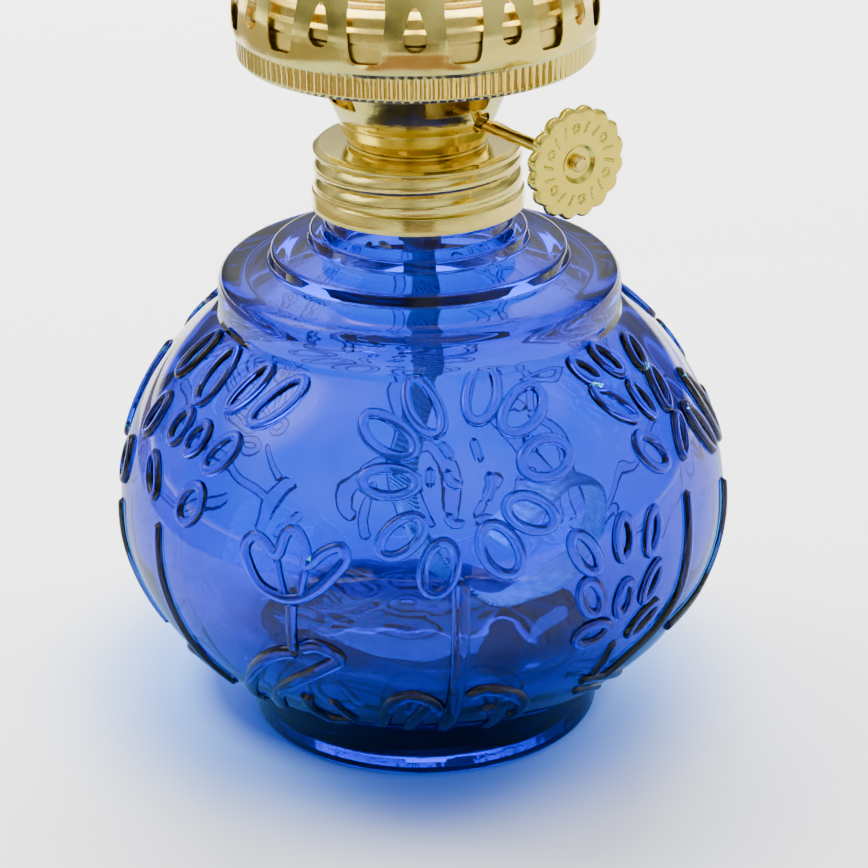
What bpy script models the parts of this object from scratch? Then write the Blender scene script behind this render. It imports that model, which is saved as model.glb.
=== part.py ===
"""Flat-wick oil lamp: a blown glass font, a screwed-on brass burner and a glass chimney.

Metres, +Z up. The origin is the centre of the foot's underside, and the lamp's axis is Z.
The wick's width and the winder's spindle lie along a line turned WICK_YAW about Z.
"""

import math

import bmesh
import bpy
from mathutils import Matrix, Vector

MM = 0.001

# Driving dimensions of the glass font
FONT_RADIUS = 55.8 * MM
FONT_MIDDLE = 43.5 * MM
FONT_LOWER = 42.0 * MM
FONT_UPPER = 48.0 * MM
FONT_WALL = 4.0 * MM
FONT_SIDES = 32
FOOT_RADIUS = 32.6 * MM
FOOT_HEIGHT = 9.4 * MM
SHOULDER_RADIUS = 36.5 * MM
SHOULDER_CREASE = 79.8 * MM
NECK_TOP = 108.9 * MM
NECK_BORE = 13.3 * MM
NECK_ROOT = 16.9 * MM

# The screw thread that the neck and the cap share
THREAD_PITCH = 3.5 * MM
THREAD_HEIGHT = 0.95 * MM
CAP_RIDGE = 18.8 * MM
SHEET = 0.4 * MM

# Burner
CUP_WINDOWS = 4
PRONGS = 12
SPREADER_TOP = 155.6 * MM
SPREADER_DOME = 20.6 * MM
SPREADER_LEDGE = 141.8 * MM

# Wick, its tube and the winder that feeds it
WICK_YAW = math.radians(-55.5)
WICK_WIDTH = 9.5 * MM
WICK_THICK = 1.6 * MM
WICK_TOP = 152.0 * MM
WICK_JOIN = 104.0 * MM
TUBE_WIDTH = 11.3 * MM
TUBE_THICK = 3.4 * MM
TUBE_WALL = 0.5 * MM
TUBE_BOTTOM = 92.0 * MM
TUBE_TOP = 150.5 * MM
SPINDLE_OFFSET = 4.0 * MM
SPINDLE_HEIGHT = 116.8 * MM
SPINDLE_RADIUS = 1.1 * MM
KNOB_DISTANCE = 41.5 * MM
KNOB_RADIUS = 9.85 * MM
KNOB_LOBES = 16

CHIMNEY_WALL = 1.8 * MM

GAP = 0.3 * MM

for leftover in list(bpy.data.objects):
    bpy.data.objects.remove(leftover, do_unlink=True)


# Shared shape functions


def scaled(*points):
    """Points given in millimetres, in metres."""
    return [(r * MM, z * MM) for r, z in points]


def ellipse(centre_z, half_width, half_height, start, end, steps):
    """Points on an ellipse about the axis, from one angle above the level to another, in degrees."""
    points = []
    for i in range(steps + 1):
        angle = math.radians(start + (end - start) * i / steps)
        points.append((half_width * math.cos(angle), centre_z + half_height * math.sin(angle)))
    return points


def corner(centre_r, centre_z, radius, start, end, steps=3):
    """Points on a round corner of a turned outline."""
    points = []
    for i in range(steps + 1):
        angle = math.radians(start + (end - start) * i / steps)
        points.append((centre_r + radius * math.cos(angle), centre_z + radius * math.sin(angle)))
    return points


def pressed(path, thickness):
    """A closed outline of sheet metal: the path, and back along it on its inner side."""
    points = [Vector(p) for p in path]
    inner = []
    for i, point in enumerate(points):
        before = (point - points[i - 1]).normalized() if i else None
        after = (points[i + 1] - point).normalized() if i + 1 < len(points) else None
        before = before or after
        after = after or before
        along = (before + after).normalized()
        side = Vector((along.y, -along.x))
        inner.append(point + side * thickness / max(along.dot(after), 0.6))
    return [tuple(p) for p in points] + [tuple(p) for p in reversed(inner)]


def smooth(points, steps):
    """A Catmull-Rom curve through the points, with that many steps between two of them."""
    knots = [Vector(p) for p in points]
    knots = [2 * knots[0] - knots[1], *knots, 2 * knots[-1] - knots[-2]]
    curve = []
    for a, b, c, d in zip(knots, knots[1:], knots[2:], knots[3:]):
        for i in range(steps):
            t = i / steps
            curve.append(
                0.5 * (2 * b + (c - a) * t + (2 * a - 5 * b + 4 * c - d) * t**2
                       + (3 * b - a - 3 * c + d) * t**3)
            )
    return curve + [knots[-2]]


def add(name, bm, colour, roughness, metallic=0.0, transmission=0.0, yaw=0.0):
    """Makes the mesh an object with its own material, shaded smooth between its sharp edges."""
    bmesh.ops.remove_doubles(bm, verts=bm.verts, dist=1e-6)
    bmesh.ops.recalc_face_normals(bm, faces=bm.faces)
    mesh = bpy.data.meshes.new(name)
    bm.to_mesh(mesh)
    bm.free()
    mesh.shade_smooth()
    mesh.set_sharp_from_angle(angle=math.radians(35))
    material = bpy.data.materials.new(name)
    material.use_nodes = True
    shader = material.node_tree.nodes["Principled BSDF"]
    shader.inputs["Base Color"].default_value = (*colour, 1)
    shader.inputs["Roughness"].default_value = roughness
    shader.inputs["Metallic"].default_value = metallic
    shader.inputs["Transmission Weight"].default_value = transmission
    mesh.materials.append(material)
    piece = bpy.data.objects.new(name, mesh)
    piece.rotation_euler.z = yaw
    bpy.context.collection.objects.link(piece)
    return piece


def turned(outline, sides, closed=True):
    """Spins an outline of (radius, height) points about Z; an open one starts and ends on the axis."""
    bm = bmesh.new()
    verts = [bm.verts.new((r, 0, z)) for r, z in outline]
    pairs = list(zip(verts, verts[1:]))
    if closed:
        pairs.append((verts[-1], verts[0]))
    edges = [bm.edges.new(pair) for pair in pairs]
    bmesh.ops.spin(
        bm, geom=verts + edges, cent=(0, 0, 0), axis=(0, 0, 1), angle=2 * math.pi, steps=sides, use_merge=True
    )
    bmesh.ops.remove_doubles(bm, verts=bm.verts, dist=1e-6)
    return bm


def prism(bm, outline, low, high, place):
    """Adds a prism of an (x, y) outline between two heights, then puts it in place."""
    ends = []
    for z in (low, high):
        ends.append([bm.verts.new(place @ Vector((x, y, z))) for x, y in outline])
    bm.faces.new(ends[0])
    bm.faces.new(ends[1])
    count = len(outline)
    for i in range(count):
        j = (i + 1) % count
        bm.faces.new((ends[0][i], ends[0][j], ends[1][j], ends[1][i]))


def rectangle(width, height, x=0.0, y=0.0):
    """The corners of a rectangle about (x, y)."""
    return [(x + i * width / 2, y + j * height / 2) for i, j in ((-1, -1), (1, -1), (1, 1), (-1, 1))]


def circle(radius, sides, x=0.0, y=0.0):
    """The corners of a regular polygon about (x, y)."""
    turns = [2 * math.pi * (i + 0.5) / sides for i in range(sides)]
    return [(x + radius * math.cos(t), y + radius * math.sin(t)) for t in turns]


def stadium(width, height, steps=4):
    """A slot outline with round ends, width along x."""
    radius = height / 2
    reach = width / 2 - radius
    points = []
    for side, start in ((1, -90), (-1, 90)):
        for i in range(steps + 1):
            angle = math.radians(start + 180 * i / steps)
            points.append((side * reach + radius * math.cos(angle), radius * math.sin(angle)))
    return points


def cut(piece, name, shapes):
    """Cuts the piece with prisms, each an outline, two heights and a place."""
    bm = bmesh.new()
    for outline, low, high, place in shapes:
        prism(bm, outline, low, high, place)
    cutter = add(name, bm, (1, 0, 0), 0.5)
    cutter.hide_render = True
    cutter.display_type = "WIRE"
    boolean = piece.modifiers.new(name, "BOOLEAN")
    boolean.operation = "DIFFERENCE"
    boolean.object = cutter


def outwards(angle):
    """Turns a prism drawn in x (sideways) and y (up) so that its length points out at that angle."""
    out = Vector((math.cos(angle), math.sin(angle), 0))
    side = Vector((-math.sin(angle), math.cos(angle), 0))
    turn = Matrix((side, Vector((0, 0, 1)), out)).transposed()
    return turn.to_4x4()


UPRIGHT = Matrix.Identity(4)
YAWED = Matrix.Rotation(WICK_YAW, 4, "Z")
SPINDLE_PLACE = YAWED @ Matrix.Translation((0, SPINDLE_OFFSET, SPINDLE_HEIGHT)) @ Matrix.Rotation(math.pi / 2, 4, "Y")


def threaded(bm, low, high, inner, outer, height, grooves):
    """Rolls a right-hand thread into the rows of a turned wall between two heights and two radii.

    A cap's grooves go in from its wall, and a neck's ridge stands out from its root, in one helix.
    """
    for vert in bm.verts:
        radius = vert.co.xy.length
        z = vert.co.z
        if not (inner < radius < outer and low < z < high):
            continue
        turn = math.atan2(vert.co.y, vert.co.x)
        wave = math.cos(2 * math.pi * z / THREAD_PITCH - turn)
        fade = min(1.0, (z - low) / (0.3 * THREAD_PITCH), (high - z) / (0.3 * THREAD_PITCH))
        change = -height * fade * (1 - wave) / 2 if grooves else height * fade * (1 + wave) / 2
        vert.co.xy *= (radius + change) / radius


def levels(radius, low, high, count):
    """Evenly spaced points up a straight wall."""
    return [(radius, low + (high - low) * i / count) for i in range(count + 1)]


BRASS = (0.83, 0.66, 0.32)
GLASS_BLUE = (0.01, 0.16, 0.85)

# Glass font: foot, bowl, stepped shoulder and threaded neck, blown in one piece

base_angle = -math.degrees(math.acos(FOOT_RADIUS / FONT_RADIUS))
crease_angle = math.degrees(math.asin((SHOULDER_CREASE - FONT_MIDDLE) / FONT_UPPER))
inner_radius = FONT_RADIUS - FONT_WALL
inner_crease = math.degrees(math.acos(32.3 * MM / inner_radius))
font_outline = [
    *scaled((0, 2.2), (25.5, 1.6), (27.6, 0), (31.4, 0)),
    *corner(FOOT_RADIUS - 1.2 * MM, 1.2 * MM, 1.2 * MM, -45, 0, 1),
    (FOOT_RADIUS + 0.3 * MM, FOOT_HEIGHT - 0.6 * MM),
    *ellipse(FONT_MIDDLE, FONT_RADIUS, FONT_LOWER, base_angle + 3, 0, 6),
    *ellipse(FONT_MIDDLE, FONT_RADIUS, FONT_UPPER, 9, crease_angle, 5),
    *corner(SHOULDER_RADIUS - 4.2 * MM, 83.6 * MM, 4.2 * MM, 0, 72, 3),
    *scaled((27.2, 89.1), (26.7, 89.5), (26.5, 91.0), (25.5, 91.6)),
    *scaled((20.3, 92.7), (19.7, 93.2), (19.5, 94.6), (18.7, 95.2)),
    *levels(NECK_ROOT, 95.8 * MM, NECK_TOP - 0.5 * MM, 17),
    (NECK_ROOT - 0.5 * MM, NECK_TOP),
    (NECK_BORE + 0.6 * MM, NECK_TOP),
    (NECK_BORE, NECK_TOP - 0.6 * MM),
    *scaled((13.3, 94.6), (16.2, 91.0), (23.5, 87.3), (31.0, 84.0), (32.5, 81.5)),
    *ellipse(FONT_MIDDLE, inner_radius, FONT_UPPER - FONT_WALL, inner_crease, 10, 4),
    *ellipse(FONT_MIDDLE, inner_radius, FONT_LOWER - 4.5 * MM, 0, -90, 6),
]
font_mesh = turned(font_outline, FONT_SIDES, closed=False)
threaded(
    font_mesh, 98.6 * MM, NECK_TOP - 0.4 * MM, NECK_ROOT - 0.1 * MM, NECK_ROOT + 0.1 * MM, THREAD_HEIGHT, False
)
font = add("font", font_mesh, GLASS_BLUE, 0.04, transmission=1.0)

# Sealing washer inside the cap, on the neck's rim

liner_outline = scaled((14.2, 109.2), (16.9, 109.2), (16.9, 110.2), (14.2, 110.2))
add("cap_liner", turned(liner_outline, 32), (0.42, 0.3, 0.18), 0.9)

# Screw cap: flared lip, rolled thread, flat top and a raised boss, pressed from sheet

cap_path = [
    *scaled((10.9, 113.3), (11.1, 112.3), (11.7, 111.4), (12.7, 111.0), (17.2, 111.0), (18.2, 110.7)),
    *reversed(levels(CAP_RIDGE, 103.0 * MM, 110.2 * MM, 11)),
    *scaled((18.65, 102.8), (18.95, 102.5), (19.25, 100.2), (19.2, 99.5)),
]
cap_mesh = turned(pressed(cap_path, SHEET), FONT_SIDES)
threaded(cap_mesh, 102.9 * MM, 110.5 * MM, 18.2 * MM, 18.9 * MM, THREAD_HEIGHT, True)
add("burner_cap", cap_mesh, BRASS, 0.22, 1.0)

# Plate that closes the boss and carries the wick tube, with a vent hole

base_outline = scaled((0, 111.9), (10.1, 111.9), (10.1, 112.4), (0, 112.4))
base_plate = add("base_plate", turned(base_outline, 32, False), BRASS, 0.3, 1.0)
tube_slot = stadium(TUBE_WIDTH + 2 * GAP, TUBE_THICK + 2 * GAP)
cut(base_plate, "base_plate_cutter", [
    (tube_slot, 111 * MM, 113 * MM, YAWED),
    (circle(0.9 * MM, 8, 0, -5.5 * MM), 111 * MM, 113 * MM, YAWED),
])

# Burner cup: a bead, a flared bowl and four tabs between its air windows

cup_path = scaled(
    (9.3, 114.0), (10.9, 114.0), (11.6, 114.5), (11.8, 116.0), (12.7, 118.0), (15.0, 121.9),
    (17.6, 125.8), (19.4, 126.3),
)
cup = add("burner_cup", turned(pressed(cup_path, SHEET), 28), BRASS, 0.2, 1.0)
window = scaled((-6.2, 119.9), (-5.6, 119.5), (5.6, 119.5), (6.2, 119.9), (7.1, 127.5), (-7.1, 127.5))
cup_cuts = [(circle(2.1 * MM, 12), 8 * MM, 20 * MM, SPINDLE_PLACE)]
for i in range(CUP_WINDOWS):
    middle = math.radians(-63 + 360 / CUP_WINDOWS * i)
    cup_cuts.append((window, 9 * MM, 24 * MM, outwards(middle)))
cut(cup, "cup_cutter", cup_cuts)

# Perforated air plate on the cup's tabs, held inside the gallery's rim

plate_outline = scaled(
    (0, 127.1), (29.0, 127.1), (29.8, 127.4), (30.2, 128.6), (29.8, 128.6), (29.5, 127.8), (28.9, 127.6), (0, 127.6)
)
air_plate = add("air_plate", turned(plate_outline, 28, False), BRASS, 0.3, 1.0)
holes = []
for ring_radius, count in ((13.5, 8), (18.5, 10), (24.0, 14)):
    for i in range(count):
        turn = 2 * math.pi * i / count
        spot = circle(1.5 * MM, 6, ring_radius * MM * math.cos(turn), ring_radius * MM * math.sin(turn))
        holes.append((spot, 126 * MM, 129 * MM, YAWED))
cut(air_plate, "air_plate_cutter", [(tube_slot, 126 * MM, 129 * MM, YAWED), *holes])

# Gallery: knurled rim, bulge and twelve prongs that hold the chimney, each with a teardrop hole

gallery_path = scaled(
    (28.0, 160.5), (27.3, 157.8), (27.2, 154.5), (28.3, 150.0), (30.0, 145.5), (31.3, 141.0),
    (31.9, 136.5), (31.8, 133.0), (31.3, 131.0), (31.1, 126.8), (30.6, 126.1), (29.2, 126.0),
)
gallery_sides = 3 * PRONGS
gallery_mesh = turned(pressed(gallery_path, SHEET), gallery_sides)
gallery = add("gallery", gallery_mesh, BRASS, 0.2, 1.0, yaw=math.pi / gallery_sides)
slot = scaled(
    (-2.1, 133.3), (2.1, 133.3), (2.8, 134.3), (2.9, 137.0), (3.3, 140.5), (3.0, 145.0), (3.2, 150.0),
    (4.2, 162.0), (-4.2, 162.0), (-3.2, 150.0), (-3.0, 145.0), (-3.3, 140.5), (-2.9, 137.0), (-2.8, 134.3),
)
drop = [
    *corner(0, 137.4 * MM, 2.0 * MM, -180, 0, 4),
    *scaled((1.7, 139.4), (0.8, 142.0), (0, 143.4), (-0.8, 142.0), (-1.7, 139.4)),
]
cuts = []
for i in range(PRONGS):
    middle = math.radians(-90 + 360 / PRONGS * i)
    cuts.append((drop, 28 * MM, 36 * MM, outwards(middle)))
    cuts.append((slot, 24 * MM, 36 * MM, outwards(middle + math.pi / PRONGS)))
cut(gallery, "gallery_cutter", cuts)

# Flame spreader: a stepped skirt on four feet, the ledge under the chimney and a slotted dome

spreader_path = [
    *ellipse(SPREADER_LEDGE, SPREADER_DOME, SPREADER_TOP - SPREADER_LEDGE, 90, 8, 6),
    (SPREADER_DOME + MM, SPREADER_LEDGE),
    *scaled((28.2, 141.8), (28.8, 141.3), (28.8, 138.4), (29.6, 137.9), (29.6, 128.9)),
]
spreader_outline = pressed(spreader_path, SHEET)
spreader_outline[0] = (0, SPREADER_TOP)
spreader_outline[-1] = (0, SPREADER_TOP - SHEET)
spreader = add("flame_spreader", turned(spreader_outline, 28, False), BRASS, 0.25, 1.0)
spreader_cuts = [(stadium(14.0 * MM, 5.2 * MM), 148 * MM, 160 * MM, YAWED)]
for i in range(4):
    middle = math.radians(-45 + 90 * i)
    spreader_cuts.append((rectangle(37 * MM, 6 * MM, 0, 130.8 * MM), 20 * MM, 33 * MM, outwards(middle)))
cut(spreader, "spreader_cutter", spreader_cuts)

# Wick tube with a window where the spurs reach the wick

tube_mesh = bmesh.new()
prism(tube_mesh, stadium(TUBE_WIDTH, TUBE_THICK), TUBE_BOTTOM, TUBE_TOP, UPRIGHT)
wick_tube = add("wick_tube", tube_mesh, BRASS, 0.3, 1.0, yaw=WICK_YAW)
bore = stadium(TUBE_WIDTH - 2 * TUBE_WALL, TUBE_THICK - 2 * TUBE_WALL)
spur_window = rectangle(6.6 * MM, 3.0 * MM, 0, 1.9 * MM)
cut(wick_tube, "tube_cutter", [(bore, TUBE_BOTTOM - MM, TUBE_TOP + MM, YAWED)])
window_reach = 3.6 * MM
cut(wick_tube, "window_cutter", [
    (spur_window, SPINDLE_HEIGHT - window_reach, SPINDLE_HEIGHT + window_reach, YAWED),
])

# Bracket that wraps the tube and carries the spindle in its two ears

bracket_mesh = bmesh.new()
ear = TUBE_WIDTH / 2 + 0.4 * MM
back = -TUBE_THICK / 2 - 0.4 * MM
front = SPINDLE_OFFSET + 2.3 * MM
bracket_outline = [
    (-ear - SHEET, back - SHEET), (ear + SHEET, back - SHEET), (ear + SHEET, front), (ear, front),
    (ear, back), (-ear, back), (-ear, front), (-ear - SHEET, front),
]
prism(bracket_mesh, bracket_outline, 113.4 * MM, 120.2 * MM, UPRIGHT)
bracket = add("spindle_bracket", bracket_mesh, BRASS, 0.3, 1.0, yaw=WICK_YAW)
cut(bracket, "bracket_cutter", [(circle(SPINDLE_RADIUS + 0.15 * MM, 16), -9 * MM, 9 * MM, SPINDLE_PLACE)])

# Winder: spindle, two spur wheels and the knob, all on the spindle's axis

winder = bpy.data.objects.new("winder_axis", None)
winder.matrix_world = SPINDLE_PLACE
bpy.context.collection.objects.link(winder)


def on_winder(piece):
    """Hangs a piece, drawn about local Z, on the spindle's axis."""
    piece.parent = winder


neck_start = KNOB_DISTANCE - 0.7 * MM
spindle_outline = [
    (0, -7.6 * MM),
    (SPINDLE_RADIUS - 0.3 * MM, -7.6 * MM),
    (SPINDLE_RADIUS, -7.2 * MM),
    (SPINDLE_RADIUS, neck_start),
    (0.8 * MM, neck_start),
    (0.8 * MM, KNOB_DISTANCE + 0.4 * MM),
    (1.35 * MM, KNOB_DISTANCE + 0.4 * MM),
    (1.35 * MM, KNOB_DISTANCE + 0.9 * MM),
    (0.7 * MM, KNOB_DISTANCE + 1.35 * MM),
    (0, KNOB_DISTANCE + 1.4 * MM),
]
on_winder(add("spindle", turned(spindle_outline, 12, False), BRASS, 0.25, 1.0))


def spur_wheel(name, middle):
    """A thin toothed wheel about the spindle, with a running gap at its bore."""
    bm = bmesh.new()
    teeth = 10
    outline = []
    for i in range(teeth):
        for share, radius in ((0.0, 2.2), (0.5, 3.0)):
            turn = 2 * math.pi * (i + share) / teeth
            outline.append((radius * MM * math.cos(turn), radius * MM * math.sin(turn)))
    prism(bm, outline, middle - 0.35 * MM, middle + 0.35 * MM, UPRIGHT)
    wheel = add(name, bm, (0.62, 0.55, 0.4), 0.35, 1.0)
    cut(wheel, name + "_cutter", [
        (circle(SPINDLE_RADIUS + 0.12 * MM, 12), middle - MM, middle + MM, SPINDLE_PLACE)
    ])
    on_winder(wheel)


spur_wheel("spur_wheel_inner", -2.3 * MM)
spur_wheel("spur_wheel_outer", 2.3 * MM)

# Winder knob: a scalloped disc with a turned-back rim and a dished middle


def scallop(radius, depth, shrink=0.0):
    """The knob's edge: shallow round lobes about the disc."""
    points = []
    for i in range(KNOB_LOBES * 4):
        turn = 2 * math.pi * i / (KNOB_LOBES * 4)
        bow = abs(math.cos(KNOB_LOBES * turn / 2))
        reach = radius - depth * (1 - bow) - shrink
        points.append((reach * math.cos(turn), reach * math.sin(turn)))
    return points


knob_mesh = bmesh.new()
prism(knob_mesh, scallop(KNOB_RADIUS, 0.55 * MM), -1.5 * MM, 0.5 * MM, UPRIGHT)
knob = add("winder_knob", knob_mesh, BRASS, 0.2, 1.0)
knob.location.z = KNOB_DISTANCE
KNOB_PLACE = SPINDLE_PLACE @ Matrix.Translation((0, 0, KNOB_DISTANCE))
knob_hollow = scallop(KNOB_RADIUS, 0.55 * MM, 0.6 * MM)
cut(knob, "knob_cutter", [(knob_hollow, -2.5 * MM, -0.1 * MM, KNOB_PLACE)])
cut(knob, "knob_dish_cutter", [(circle(2.6 * MM, 16), 0.2 * MM, 1.5 * MM, KNOB_PLACE)])
cut(knob, "knob_bore_cutter", [(circle(1.0 * MM, 12), -1 * MM, 1 * MM, KNOB_PLACE)])
on_winder(knob)

# Wick: a flat cotton tape, its upper length in the tube and its tail loose in the font

wick_mesh = bmesh.new()
prism(wick_mesh, rectangle(WICK_WIDTH, WICK_THICK), WICK_JOIN, WICK_TOP, UPRIGHT)
add("wick", wick_mesh, (0.86, 0.83, 0.74), 0.95, yaw=WICK_YAW)

# The tail's route, sideways from the axis and up, in millimetres
TAIL_ROUTE = [
    (0, 103.7), (0, 98), (0, 92), (0.5, 84), (1.6, 75), (0.8, 66), (-1.8, 57), (-3.2, 48),
    (-2.0, 39), (1.2, 30), (5.6, 21.5), (12.0, 14.6), (20.0, 12.2), (28.5, 14.6), (35.6, 19.8),
    (40.2, 26.6), (38.6, 34.0), (31.6, 36.6), (24.2, 33.0), (17.6, 28.0),
]
tail_curve = smooth(scaled(*TAIL_ROUTE), 3)
tail_mesh = bmesh.new()
rings = []
for i, point in enumerate(tail_curve):
    along = (tail_curve[min(i + 1, len(tail_curve) - 1)] - tail_curve[max(i - 1, 0)]).normalized()
    side = Vector((-along.y, along.x)) * WICK_THICK / 2
    ring = []
    for across, thick in ((-1, -1), (1, -1), (1, 1), (-1, 1)):
        spot = point + thick * side
        ring.append(tail_mesh.verts.new((across * WICK_WIDTH / 2, spot.x, spot.y)))
    rings.append(ring)
for first, second in zip(rings, rings[1:]):
    for i in range(4):
        j = (i + 1) % 4
        tail_mesh.faces.new((first[i], first[j], second[j], second[i]))
tail_mesh.faces.new(rings[0])
tail_mesh.faces.new(rings[-1])
add("wick_tail", tail_mesh, (0.86, 0.83, 0.74), 0.95, yaw=WICK_YAW)

# Chimney: a straight foot in the prongs, a bulb and a long taper to a plain top

chimney_path = [
    *scaled((20.4, 292.0), (20.7, 272.0), (22.6, 250.0), (27.6, 226.0), (33.6, 205.0)),
    *scaled((35.8, 192.0), (34.8, 179.0), (30.6, 168.0), (26.4, 160.0), (26.2, 142.2)),
]
add("chimney", turned(pressed(chimney_path, CHIMNEY_WALL), 28), (0.9, 0.95, 0.95), 0.03, transmission=1.0)
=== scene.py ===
import math

import bpy
import numpy as np
from mathutils import Matrix, Vector, noise


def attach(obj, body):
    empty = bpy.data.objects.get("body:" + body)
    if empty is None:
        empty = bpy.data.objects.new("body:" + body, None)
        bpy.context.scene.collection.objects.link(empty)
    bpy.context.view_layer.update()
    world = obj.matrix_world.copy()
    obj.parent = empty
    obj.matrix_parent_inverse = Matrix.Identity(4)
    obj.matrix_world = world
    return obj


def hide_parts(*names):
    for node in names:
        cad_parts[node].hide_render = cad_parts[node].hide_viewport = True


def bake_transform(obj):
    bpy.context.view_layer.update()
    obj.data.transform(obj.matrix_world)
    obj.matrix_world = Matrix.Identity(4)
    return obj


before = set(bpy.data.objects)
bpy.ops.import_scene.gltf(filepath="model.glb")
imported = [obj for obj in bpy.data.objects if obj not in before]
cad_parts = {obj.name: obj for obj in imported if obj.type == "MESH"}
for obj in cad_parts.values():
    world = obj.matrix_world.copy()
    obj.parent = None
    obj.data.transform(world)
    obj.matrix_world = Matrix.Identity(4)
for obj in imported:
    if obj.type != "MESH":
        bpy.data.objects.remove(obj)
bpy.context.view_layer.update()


# ---------------------------------------------------------------------------
# Table top, soft light and camera.
# A wide pale table under soft boxes at the left, at the right and behind, with
# a small blue light for what comes through the glass. Round the foot the table
# has a painted shadow and a painted pool of blue light in its colour. Dull boards
# that show in reflections only are painted shade for the darker parts of the
# table and the room; the one near the lamp is a painted pool of blue light.
# ---------------------------------------------------------------------------


def shader(name, **sockets):
    """A material with one Principled shader; sockets are given as constants on the shader."""
    made = bpy.data.materials.new(name)
    made.use_nodes = True
    principled = made.node_tree.nodes["Principled BSDF"]
    for socket, value in sockets.items():
        principled.inputs[socket.replace("_", " ")].default_value = value
    return made, principled


def painted_light_pool(material, socket, centre, stops):
    """Painted light round a point of the table: rings of colour for a shadow and a pool of blue light;
    stops are (radius in m, colour).
    """
    nodes, links = material.node_tree.nodes, material.node_tree.links
    place = nodes.new("ShaderNodeTexCoord")
    distance = nodes.new("ShaderNodeVectorMath")
    distance.operation = "DISTANCE"
    distance.inputs[1].default_value = centre
    ramp = nodes.new("ShaderNodeValToRGB")
    ramp.color_ramp.interpolation = "EASE"
    for radius, colour in stops[1:-1]:
        ramp.color_ramp.elements.new(radius)
    for element, (radius, colour) in zip(ramp.color_ramp.elements, stops):
        element.position = radius
        element.color = (*colour, 1)
    links.new(place.outputs["Object"], distance.inputs[0])
    links.new(distance.outputs["Value"], ramp.inputs["Fac"])
    links.new(ramp.outputs["Color"], socket)


just_under_foot = -0.0003
bpy.ops.object.select_all(action="DESELECT")
bpy.ops.mesh.primitive_plane_add(size=24.0, location=(0, 0, just_under_foot))
table = bpy.context.object
table.name = "table"
table_with_painted_pool, table_shader = shader("table_with_painted_pool", Base_Color=(0.80, 0.80, 0.79, 1), Roughness=0.55)
# Painted shadow and painted light: a dark shadow round the foot and a pool of blue light from the glass,
# painted into the table's colour.
painted_light_pool(
    table_with_painted_pool,
    table_shader.inputs["Base Color"],
    (-0.005, 0.010, 0),
    [(0.034, (0.02, 0.06, 0.34)), (0.043, (0.17, 0.34, 0.74)), (0.076, (0.81, 0.81, 0.80))],
)
table.data.materials.append(table_with_painted_pool)


def soft_box(name, place, aim, size, power, colour=(1, 1, 1)):
    """A square area light that faces a point and makes no highlight of its own."""
    bpy.ops.object.light_add(type="AREA", location=place)
    lamp = bpy.context.object
    lamp.name = name
    lamp.data.size = size
    lamp.data.energy = power
    lamp.data.color = colour
    lamp.rotation_euler = (Vector(aim) - Vector(place)).to_track_quat("-Z", "Y").to_euler()
    lamp.visible_glossy = False
    return lamp


lights = [
    soft_box("window_light", (-1.0, 0.5, 1.1), (0, 0.1, 0.0), 0.9, 44.0, (1.0, 0.99, 0.97)),
    soft_box("fill_light", (1.1, 0.5, 1.1), (0, 0.1, 0.0), 0.9, 30.0, (0.96, 0.98, 1.0)),
    soft_box("back_light", (0.0, 1.3, 1.3), (0, 0.35, 0), 1.4, 110.0),
]
bpy.ops.object.light_add(type="POINT", location=(0, 0, 0.035))
glow = bpy.context.object
glow.name = "light_through_glass"
glow.data.energy = 0.28
glow.data.color = (0.05, 0.30, 1.0)
glow.data.shadow_soft_size = 0.02
glow.data.use_shadow = False
glow.visible_glossy = False
glow.visible_transmission = False


def flag(name, place, across, up, tilt, colour):
    """A board of flat colour seen in reflections only, used for painted shade and a painted light pool; it
    lies flat, or stands when tilted by 90 degrees.
    """
    bpy.ops.mesh.primitive_plane_add(size=1, location=place, rotation=(math.radians(tilt), 0, 0))
    board = bpy.context.object
    board.name = name
    board.scale = (across, up, 1)
    board.visible_camera = False
    board.visible_diffuse = False
    board.visible_shadow = False
    board.visible_transmission = False
    board.data.materials.append(shader(name, Base_Color=(*colour, 1), Roughness=0.8)[0])
    return board


# Painted shade: dark boards, seen in reflections only, stand for the less lit parts of the table and the
# room in front.
flags = [
    flag("table_edge", (0, -0.40, 0.0004), 0.34, 0.36, 0, (0.13, 0.065, 0.04)),
    flag("table_left", (-0.62, -0.1, 0.0005), 0.76, 1.3, 0, (0.10, 0.08, 0.06)),
    flag("table_right", (0.62, -0.1, 0.0005), 0.84, 1.3, 0, (0.38, 0.36, 0.32)),
    flag("room_front", (0, -0.66, 0.05), 0.42, 0.12, 90, (0.04, 0.03, 0.02)),
    flag("painted_pool_board", (0, 0, 0.0003), 0.48, 0.48, 0, (0.34, 0.36, 0.40)),
]
# Painted light: this reflection-only board carries a painted pool of blue light round the foot, in painted
# shade further out.
painted_pool_board = flags[-1]
painted_pool_shader = painted_pool_board.data.materials[0].node_tree.nodes["Principled BSDF"]
painted_light_pool(
    painted_pool_board.data.materials[0],
    painted_pool_shader.inputs["Base Color"],
    (0, 0, 0),
    [(0.09, (0.05, 0.16, 0.42)), (0.22, (0.30, 0.33, 0.38))],
)

world = bpy.data.worlds.new("room")
bpy.context.scene.world = world
world.use_nodes = True
world_nodes, world_links = world.node_tree.nodes, world.node_tree.links
backdrop = world_nodes["Background"]
direction = world_nodes.new("ShaderNodeTexCoord").outputs["Generated"]


def ramped(field, start, end, low, high, kind="SMOOTHSTEP"):
    """Light that changes from low to high as the field goes from start to end."""
    ramp = world_nodes.new("ShaderNodeMapRange")
    ramp.interpolation_type = kind
    for socket, value in (("From Min", start), ("From Max", end), ("To Min", low), ("To Max", high)):
        ramp.inputs[socket].default_value = value
    world_links.new(field, ramp.inputs["Value"])
    return ramp.outputs["Result"]


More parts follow.
